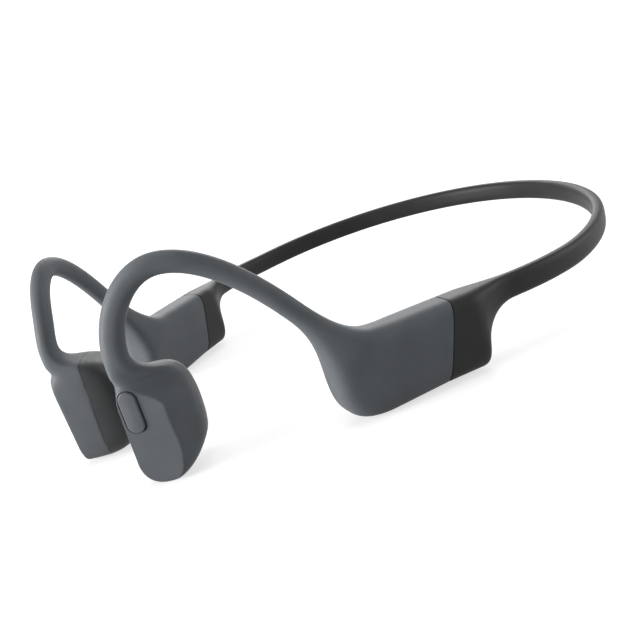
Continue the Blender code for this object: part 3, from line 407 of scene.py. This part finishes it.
def armRibs():
    # upper and lower edge in side view, thickness and squareness of each rib, from the seam to the chin
    seamTop = np.array([plan["seamY"], pod["top"]])
    seamFoot = np.array([plan["seamY"] - plan["seamSlant"], pod["bottom"]])
    topEnd = np.array([plan["seamY"] - pod["topShare"] * plan["podLength"], pod["top"]])
    footEnd = np.array([plan["seamY"] - plan["seamSlant"] - pod["footShare"] * plan["podLength"],
                        pod["bottom"] - pod["drop"]])
    nose, valley = np.array([bendY, pod["bottom"]]) + neck["nose"], topEnd + neck["valley"]
    line, root = hookLine()
    high, low = hookEdges(line)
    front, back, outer, inner, wedge, pivot, headPower = driverRibs(low[-1])
    ease = easeIn(np.linspace(0, 1, neck["rows"], endpoint=False))
    upper = np.concatenate([
        straight(seamTop, topEnd, pod["rows"]),
        bezier(topEnd, topEnd + neck["topOut"], valley + neck["valleyIn"], valley, neck["cornerRows"]),
        bezier(valley, valley + neck["valleyOut"], high[0] + neck["hookTopIn"] * footLean, high[0], neck["rows"]),
        high])[:-1]
    lower = np.concatenate([
        straight(seamFoot, footEnd, pod["rows"]),
        bezier(footEnd, footEnd + neck["footOut"], nose + neck["noseIn"], nose, neck["cornerRows"]),
        bezier(nose, nose + neck["noseOut"], low[0] + neck["hookFootIn"] * footLean, low[0], neck["rows"]),
        low])[:-1]
    hookRows = len(upper) - pod["rows"] - neck["cornerRows"] - neck["rows"]

    def along(podValue, neckValue, hookValue):
        return np.concatenate([np.full(pod["rows"], podValue), np.linspace(podValue, neckValue, neck["cornerRows"]),
                               neckValue * (1 - ease) + hookValue * ease, np.full(hookRows, hookValue)])

    thick = along(pod["thick"], pod["thick"] * neck["slim"], hook["thick"])
    power = along(pod["power"], neck["power"], hook["power"])
    plain = np.zeros(len(upper))
    ribs = dict(upper=np.concatenate([upper, front]), lower=np.concatenate([lower, back]),
                thick=np.concatenate([thick, outer + inner]), power=np.concatenate([power, headPower]),
                shift=np.concatenate([plain, (outer - inner) / 2]), wedge=np.concatenate([plain, wedge]),
                pivot=np.concatenate([plain, pivot]))
    # the hook's root and the upper half of the head stand out a little; above the root this dies away as a bell curve
    height = ribs["upper"][:, 1]
    stand = np.where(height > root[1], np.exp(-((height - root[1]) / (hook["leanReach"] * hook["width"])) ** 2),
                     easeIn((height - driverMidZ) / (hook["leanRise"] * driver["height"])))
    ahead = ribs["upper"][:, 0] < driverMidY
    ribs["shift"] = ribs["shift"] + np.where(ahead, hook["rootLean"] * stand, 0.0)
    for key, reach in smoothing.items():
        ribs[key] = soften(ribs[key], reach)
    ribs["inset"] = roundedInset(plan["seamY"] - ribs["upper"][:, 0])
    ribs["headStart"] = len(upper)
    return ribs


arm = armRibs()


def pressTo(grid, where, weight, radius, toward=1):
    # pull points that stand beyond a plane back onto it, with a small fillet
    place, axes = where
    normal = axes[0] * toward
    reach = (grid - place) @ normal
    return grid + ((holdBelow(reach, radius) - reach) * weight)[..., None] * normal


def facetAt(side):
    return armFrame(driverMidY, driverMidZ, driver["facetOut"], side, driver["turn"], driver["tilt"])


def buildArm(side, word):
    skin = ribSkin(arm, armAround)
    skin[..., 0] *= side
    rows = np.arange(len(skin))
    weight = easeIn((rows - arm["headStart"] + pressing["lead"]) / pressing["run"])[:, None]
    skin = pressTo(skin, facetAt(side), weight, driver["edge"])
    skin = pressTo(skin, armFrame(driverMidY, driverMidZ, splitOut, side), weight, driver["splitEdge"], -1)
    return makePiece(word + "ArmSkin", skin, finish["armSilicone"])


# skin pads: what is left of the head's rounded form beyond the split plane

padForm = dict(gap=0.06, fine=480, arc=80, flat=16, least=0.02, points=3)


def buildPad(side, word):
    # every outline of the head that crosses the split plane gives its stretch beyond the plane, closed by a flat back
    fine = padForm["fine"]
    skin = ribSkin({key: value[arm["headStart"]:] for key, value in arm.items() if key != "headStart"}, fine)
    place, axes = armFrame(driverMidY, driverMidZ, splitOut - padForm["gap"], left)
    depth = (place - skin) @ axes[0]
    rows = np.flatnonzero((depth > padForm["least"]).sum(axis=1) > padForm["points"])
    skin, depth = (np.roll(values[rows], -fine // 4, axis=1) for values in (skin, depth))   # start on the outer side
    pick = np.arange(len(rows))
    beyond = depth > 0
    first, last = beyond.argmax(axis=1), fine - 1 - beyond[:, ::-1].argmax(axis=1)
    start = first - depth[pick, first] / (depth[pick, first] - depth[pick, first - 1])
    end = last + depth[pick, last] / (depth[pick, last] - depth[pick, (last + 1) % fine])
    at = start[:, None] + (end - start)[:, None] * np.linspace(0, 1, padForm["arc"])[None, :]
    low = np.floor(at).astype(int)
    share = (at - low)[..., None]
    ring = skin[pick[:, None], low % fine] * (1 - share) + skin[pick[:, None], (low + 1) % fine] * share
    t = np.linspace(0, 1, padForm["flat"] + 2)[None, 1:-1, None]
    pad = np.concatenate([ring, ring[:, -1:] * (1 - t) + ring[:, :1] * t], axis=1)
    pad[..., 0] *= side
    return makePiece(word + "SkinPad", pad, finish["padSilicone"])


# buttons and small fittings

mainButton = dict(length=8.0, width=3.2, proud=0.35, fit=0.15, up=4.1, fromFront=2.2, edge=0.3, crown=0.1, depth=2.0,
                  slot=2.6, flare=0.12)
volumeButton = dict(length=5.6, width=2.6, proud=0.27, fit=0.15, pitch=7.4, ahead=0.3, dropShare=0.45, edge=0.3,
                    crown=0.06, depth=2.6, slot=3.2, flare=0.12)
chargePort = dict(length=7.0, width=3.2, fit=0.15, ahead=1.0, slot=0.9, flare=0.05)
lightHole = dict(length=1.0, width=1.0, fit=0.15, beyondPort=1.6, slot=1.2, flare=0.03)
pill = dict(turns=25, lipRows=9, topRows=9, tip=0.02, mouth=1.5)
podMidY = plan["seamY"] - plan["seamSlant"] / 2 - 0.5 * plan["podLength"]
podMidZ = (pod["top"] + pod["bottom"]) / 2


def pillSkin(where, look, profile):
    # the profile's (inset, height) pairs carried round a slab with round ends
    place, axes = where
    profile = np.asarray(profile, dtype=float)
    turns = pill["turns"]
    angle = np.concatenate([np.linspace(-math.pi / 2, math.pi / 2, turns),
                            np.linspace(math.pi / 2, 1.5 * math.pi, turns)])
    end = np.where(np.arange(2 * turns) < turns, 1.0, -1.0) * (look["length"] - look["width"]) / 2
    radius = look["width"] / 2 - profile[:, :1]
    second, third = radius * np.sin(angle)[None], end[None] + radius * np.cos(angle)[None]
    return place + profile[:, 1][:, None, None] * axes[0] + second[..., None] * axes[1] + third[..., None] * axes[2]


def domed(look):
    # wall, rounded edge and slightly crowned top of a button: (inset, height) pairs from below
    edge, half = look["edge"], look["width"] / 2
    turn = np.linspace(0, math.pi / 2, pill["lipRows"])
    wall = [(0.0, -look["depth"]), (0.0, -edge)]
    lip = np.stack([edge * (1 - np.cos(turn)), edge * (np.sin(turn) - 1)], axis=1)
    inset = np.linspace(edge, half - pill["tip"], pill["topRows"])[1:]
    top = np.stack([inset, look["crown"] * np.sin((inset - edge) / (half - edge) * math.pi / 2)], axis=1)
    return np.concatenate([wall, lip, top])


def mainButtonAt():
    step = -(driver["width"] / 2 / abs(outward(driverMidY)[0]) - mainButton["fromFront"])
    return shifted(facetAt(left), 0.0, step, mainButton["up"])


def volumeAt(step):
    # under the right pod: out is down, the slab's long way runs along the pod
    place, axes = armFrame(podMidY - volumeButton["ahead"], pod["bottom"] - pod["drop"] * volumeButton["dropShare"],
                           0.0, right)
    place = place + step * volumeButton["pitch"] / 2 * axes[1]
    return place, np.stack([-axes[2], axes[0], axes[1]])


def portAt():
    place, axes = armFrame(podMidY - chargePort["ahead"], podMidZ, pod["thick"] / 2, right)
    return place, np.stack([axes[0], axes[2], axes[1]])


def lightAt():
    return shifted(portAt(), 0.0, 0.0, chargePort["length"] / 2 + lightHole["beyondPort"])


def buildButton(name, where, look):
    return makePiece(name, pillSkin(shifted(where, look["proud"]), look, domed(look)), finish["buttonSilicone"])


def slotCutter(where, look):
    # straight slot with a small flare at its mouth
    wide = -look["fit"] - look["flare"]
    profile = [(-look["fit"], -look["slot"]), (-look["fit"], -look["flare"]), (wide, 0.0), (wide, pill["mouth"])]
    return makePiece("slotCutter", pillSkin(where, look, profile), None)


armSkins = {"left": buildArm(left, "left"), "right": buildArm(right, "right")}
pads = {"left": buildPad(left, "left"), "right": buildPad(right, "right")}
print("arms and pads made:", [len(piece.data.polygons) for piece in armSkins.values()])

buttons = {"multifunction_button": buildButton("multifunctionButton", mainButtonAt(), mainButton),
           "volume_up_button": buildButton("volumeUpButton", volumeAt(1), volumeButton),
           "volume_down_button": buildButton("volumeDownButton", volumeAt(-1), volumeButton)}
carve(armSkins["left"], [slotCutter(mainButtonAt(), mainButton)])
carve(armSkins["right"], [slotCutter(volumeAt(1), volumeButton), slotCutter(volumeAt(-1), volumeButton),
                          slotCutter(portAt(), chargePort), slotCutter(lightAt(), lightHole)])
print("buttons made and slots cut")


# neckband: a boot at each end and the loop between them, in one moulding

band = dict(height=5.0, thick=2.8, rise=3.2, risePower=1.2, top=15.6, power=3.0, around=96, rows=421,
            hold=62, trim=2, reach=8)
boot = dict(length=9.7, heel=1.9, topFlat=3.4, topOut=6.0, intoBand=0.5, bandTopIn=3.5, bandFootIn=3.6,
            soleOut=(1.2, 0.0), heelIn=(-0.1, -1.2), heelOut=(0.9, 5.4), flatRows=60, turnRows=30, restRows=60)
core = dict(radius=0.35, spacing=1.05, intoPod=2.6, runRows=40, loopRows=221, around=12)
meeting = 0.015   # how far the second ring stands from the one in which the halves meet


def loopHeight(angle):
    return band["top"] - band["height"] / 2 + band["rise"] * np.sin(np.clip(angle, 0.0, math.pi)) ** band["risePower"]


def bootRibs():
    # upper and lower edge in side view; the outline goes over from the pod's to the band's behind the flat part
    start, bootEnd = plan["seamY"] + plan["seamGap"], loopEndY - boot["intoBand"]
    footBack = start - plan["seamSlant"] + boot["length"]
    heel = np.array([footBack, pod["bottom"] + boot["heel"]])
    sole = np.array([footBack - boot["heel"], pod["bottom"]])
    under = band["top"] - band["height"]
    bendRows = boot["turnRows"] + boot["restRows"]
    flatEnd = start + boot["topFlat"]
    upper = np.concatenate([
        straight([start, pod["top"]], [flatEnd, pod["top"]], boot["flatRows"]),
        bezier([flatEnd, pod["top"]], [start + boot["topOut"], pod["top"]],
               [bootEnd - boot["bandTopIn"], band["top"]], [bootEnd, band["top"]], bendRows)])
    lower = np.concatenate([
        straight([start - plan["seamSlant"], pod["bottom"]], sole, boot["flatRows"]),
        bezier(sole, sole + boot["soleOut"], heel + boot["heelIn"], heel, boot["turnRows"]),
        bezier(heel, heel + boot["heelOut"],
               [bootEnd - boot["bandFootIn"], under], [bootEnd, under], boot["restRows"])])
    ease = easeIn(np.linspace(0, 1, bendRows))

    def along(podValue, bandValue):
        return np.concatenate([np.full(boot["flatRows"], podValue), podValue * (1 - ease) + bandValue * ease])

    plain = np.zeros(len(upper))
    return dict(upper=upper, lower=lower, wedge=plain, pivot=plain, shift=plain,
                thick=along(pod["thick"], band["thick"]), power=along(pod["power"], band["power"]),
                inset=roundedInset(upper[:, 0] - start))


def loopSkin():
    # the band's outline carried round the circle, rising to the back
    angle = np.linspace(-plan["splay"], math.pi + plan["splay"], band["rows"])
    full = np.ones(band["rows"])
    u, v = oval(band["height"] / 2 * full, band["thick"] / 2 * full, band["power"] * full, band["around"])
    reach = plan["bandRadius"] + v
    c, s = np.cos(angle)[:, None], np.sin(angle)[:, None]
    return np.stack([reach * c, plan["loopCentreY"] + reach * s, loopHeight(angle)[:, None] + u], axis=-1)


def bandSkin():
    # the joins between boots and loop are evened out, while the boots' own ends stay as they are
    end = ribSkin(bootRibs(), band["around"])
    skin = np.concatenate([end, loopSkin(), end[::-1] * [-1, 1, 1]])
    hold, trim = band["hold"], band["trim"]
    smooth = soften(skin[trim:-trim], band["reach"])
    skin[hold:-hold] = smooth[hold - trim:trim - hold]
    return skin


def tubeSkin(path):
    # round bar: circles square to the path and upright
    along = np.gradient(path, axis=0)
    along /= np.linalg.norm(along, axis=1)[:, None]
    side = np.cross(along, [0.0, 0.0, 1.0])
    side /= np.linalg.norm(side, axis=1)[:, None]
    over = np.cross(side, along)
    angle = np.linspace(0, 2 * math.pi, core["around"], endpoint=False)
    ring = np.cos(angle)[None, :, None] * side[:, None] + np.sin(angle)[None, :, None] * over[:, None]
    return path[:, None] + core["radius"] * ring


def bandPath(up):
    # from pod to pod along the middle of the band, a little above or below it
    endY = plan["seamY"] - plan["seamSlant"] / 2 - core["intoPod"] + plan["seamGap"]
    y = np.linspace(endY, loopEndY, core["runRows"])[:-1]
    run = np.stack([curtainX(y), y, np.full(len(y), band["top"] - band["height"] / 2 + up)], axis=1)
    angle = np.linspace(-plan["splay"], math.pi + plan["splay"], core["loopRows"])
    loop = np.stack([plan["bandRadius"] * np.cos(angle), plan["loopCentreY"] + plan["bandRadius"] * np.sin(angle),
                     loopHeight(angle) + up], axis=1)
    return np.concatenate([run, loop, run[::-1] * [-1, 1, 1]])


def buildHalves(name, grid, material):
    # a left and a right half that meet in the middle of the back;
    # a second ring close to the meeting one keeps the shading even across it
    middle = len(grid) // 2
    beside = np.array([meeting, 0.0, 0.0])
    ring = grid[middle:middle + 1]
    leftGrid = np.concatenate([grid[:middle], ring + beside, ring])
    rightGrid = np.concatenate([ring, ring - beside, grid[middle + 1:]])
    return {left: makePiece(name + "Left", leftGrid, material), right: makePiece(name + "Right", rightGrid, material)}


upperCore, lowerCore = (tubeSkin(bandPath(step * core["spacing"] / 2)) for step in (1, -1))
bandPieces = {"neckband_skin": buildHalves("neckbandSkin", bandSkin(), finish["bandSilicone"]),
              "neckband_wire": buildHalves("neckbandWire", upperCore, finish["springWire"]),
              "neckband_lead": buildHalves("neckbandLead", lowerCore, finish["leadJacket"])}
print("neckband made:", [len(piece.data.polygons) for piece in bandPieces["neckband_skin"].values()])


# arm skins, pads and buttons ride on their bodies; the neckband halves keep their place

for word, piece in armSkins.items():
    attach(piece, word + "_side")
    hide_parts(word + "_arm_skin")
for word, piece in pads.items():
    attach(piece, word + "_side")
    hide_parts(word + "_skin_pad")
for node, piece in buttons.items():
    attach(piece, node)
    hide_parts(node)
for node, halves in bandPieces.items():
    for side, piece in halves.items():
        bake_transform(piece)
        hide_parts(node)

# CAD nodes by a word in their names; the replaced ones are hidden, and get the finish of what stands for them
nodeFinish = {"hook_wire": "springWire", "hook_lead": "leadJacket", "pod_case": "trayPlastic", "yoke": "yokeSteel",
              "magnet": "magnetNickel", "voice_coil": "coilCopper", "leaf_spring": "springWire",
              "switch": "trayPlastic", "battery_cell": "cellWrap", "battery_board": "boardMask",
              "main_board": "boardMask", "shield_can": "springWire", "charge_port_plate": "trayPlastic",
              "charge_contact": "contactGold", "status_light": "lightPipe", "arm_skin": "armSilicone",
              "skin_pad": "padSilicone", "neckband_skin": "bandSilicone", "neckband_wire": "springWire",
              "neckband_lead": "leadJacket", "button": "buttonSilicone"}
for node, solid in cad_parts.items():
    word = next(key for key in nodeFinish if key in node)
    for slot in solid.material_slots:
        slot.material = finish[nodeFinish[word]]
print("CAD nodes dressed:", len(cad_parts))


# floor, light and camera, in metres

# lift is what these rays see beside the lit colour: less near the set, so that its shadow stays
whiteRays = ("Is Camera Ray", "Is Glossy Ray", "Is Transmission Ray")
ground = dict(colour=0.5, rough=0.9, specular=0.1, nearLift=0.66, farLift=1.0, fadeFrom=0.13, fadeTo=0.35,
              half=3.0, flatTo=1.4, sweep=0.9, wallTop=3.0, heading=(-0.76, 0.65), below=0.00005,
              acrossRows=25, flatRows=20, sweepRows=24)
light = dict(world=0.25, aim=(0.0, -0.02, 0.015),
             lamps=dict(key=dict(place=(-0.348, -0.840, 0.140), size=0.5, power=15.0),
                        fill=dict(place=(0.559, 0.646, 0.248), size=0.5, power=2.3),
                        rim=dict(place=(-0.592, 0.532, 0.410), size=0.7, power=4.2),
                        top=dict(place=(0.001, -0.02, 0.9), size=0.5, power=1.9)))
view = dict(place=(137.7, -127.155, 59.9), forward=(-0.731, 0.624, -0.277), side=(0.682, 0.684, -0.257),
            sensor=36.0, focalPixels=812.44, widthPixels=640, near=0.005)


def seenBy(kinds, nodes, links):
    # 1 for a ray of one of these kinds, 0 for any other
    path = nodes.new("ShaderNodeLightPath")
    found = path.outputs[kinds[0]]
    for kind in kinds[1:]:
        either = nodes.new("ShaderNodeMath")
        either.operation = "MAXIMUM"
        links.new(found, either.inputs[0])
        links.new(path.outputs[kind], either.inputs[1])
        found = either.outputs[0]
    return found


def floorMaterial():
    mat = bpy.data.materials.new("paleFloor")
    mat.use_nodes = True
    nodes, links = mat.node_tree.nodes, mat.node_tree.links
    shader = nodes["Principled BSDF"]
    shader.inputs["Base Color"].default_value = (*[ground["colour"]] * 3, 1)
    shader.inputs["Roughness"].default_value = ground["rough"]
    shader.inputs["Specular IOR Level"].default_value = ground["specular"]
    shader.inputs["Emission Color"].default_value = (1, 1, 1, 1)
    place = nodes.new("ShaderNodeTexCoord")
    reach = nodes.new("ShaderNodeVectorMath")
    reach.operation = "LENGTH"
    links.new(place.outputs["Object"], reach.inputs[0])
    fade = nodes.new("ShaderNodeMapRange")
    fade.inputs["From Min"].default_value = ground["fadeFrom"]
    fade.inputs["From Max"].default_value = ground["fadeTo"]
    fade.inputs["To Min"].default_value = ground["nearLift"]
    fade.inputs["To Max"].default_value = ground["farLift"]
    links.new(reach.outputs["Value"], fade.inputs["Value"])
    lift = nodes.new("ShaderNodeMath")
    lift.operation = "MULTIPLY"
    links.new(seenBy(whiteRays, nodes, links), lift.inputs[0])
    links.new(fade.outputs["Result"], lift.inputs[1])
    links.new(lift.outputs[0], shader.inputs["Emission Strength"])
    return mat


def makeFloor():
    # flat floor that sweeps up behind the set in a quarter circle
    half, flatTo, sweep = ground["half"], ground["flatTo"], ground["sweep"]
    across = np.linspace(-half, half, ground["acrossRows"])
    turn = np.linspace(0, math.pi / 2, ground["sweepRows"])[1:]
    away = np.concatenate([np.linspace(-half, flatTo, ground["flatRows"]), flatTo + sweep * np.sin(turn),
                           [flatTo + sweep]])
    height = np.concatenate([np.zeros(ground["flatRows"]), sweep * (1 - np.cos(turn)), [ground["wallTop"]]])
    heading = np.array(ground["heading"])
    side = np.array([heading[1], -heading[0]])
    i, j = np.meshgrid(np.arange(len(away)), np.arange(len(across)), indexing="ij")
    points = np.stack([away[i] * heading[0] + across[j] * side[0], away[i] * heading[1] + across[j] * side[1],
                       height[i] - ground["below"]], axis=-1)
    width = len(across)
    i, j = i[:-1, :-1], j[:-1, :-1]
    quads = np.stack([i * width + j, i * width + j + 1, (i + 1) * width + j + 1, (i + 1) * width + j], axis=-1)
    mesh = bpy.data.meshes.new("floor")
    mesh.from_pydata(points.reshape(-1, 3).tolist(), [], quads.reshape(-1, 4).tolist())
    mesh.shade_smooth()
    mesh.materials.append(floorMaterial())
    floor = bpy.data.objects.new("floor", mesh)
    bpy.context.scene.collection.objects.link(floor)


def addFacing(name, data, place, forward, side):
    # an object at a place that looks forward, with its own right side given
    forward = forward / np.linalg.norm(forward)
    side = side - forward * (side @ forward)
    side /= np.linalg.norm(side)
    turn = np.eye(4)
    turn[:3, 0], turn[:3, 1], turn[:3, 2], turn[:3, 3] = side, np.cross(side, forward), -forward, place
    obj = bpy.data.objects.new(name, data)
    obj.matrix_world = Matrix(turn.tolist())
    bpy.context.scene.collection.objects.link(obj)
    return obj


def addLamp(name, place, size, power):
    lamp = bpy.data.lights.new(name, "AREA")
    lamp.shape = "DISK"
    lamp.size = size
    lamp.energy = power
    aim = np.array(light["aim"]) - place
    addFacing(name, lamp, place, aim, np.cross(aim, [0.0, 0.0, 1.0]))


def setWorld():
    world = bpy.data.worlds.new("studio")
    bpy.context.scene.world = world
    world.use_nodes = True
    nodes, links = world.node_tree.nodes, world.node_tree.links
    back = nodes["Background"]
    back.inputs["Color"].default_value = (1, 1, 1, 1)
    mix = nodes.new("ShaderNodeMapRange")
    mix.inputs["To Min"].default_value = light["world"]
    mix.inputs["To Max"].default_value = 1.0
    links.new(seenBy(whiteRays, nodes, links), mix.inputs["Value"])
    links.new(mix.outputs["Result"], back.inputs["Strength"])


def setCamera():
    # the photograph's own view
    camera = bpy.data.cameras.new("photoView")
    camera.sensor_width = view["sensor"]
    camera.lens = view["sensor"] * view["focalPixels"] / view["widthPixels"]
    camera.clip_start = view["near"]
    place, forward, side = (np.array(view[key]) for key in ("place", "forward", "side"))
    bpy.context.scene.camera = addFacing("photoView", camera, place * mm, forward, side)


makeFloor()
for name, lamp in light["lamps"].items():
    addLamp(name, **lamp)
setWorld()
setCamera()
bpy.context.scene.view_settings.view_transform = "Standard"
print("stage, lamps and camera set")
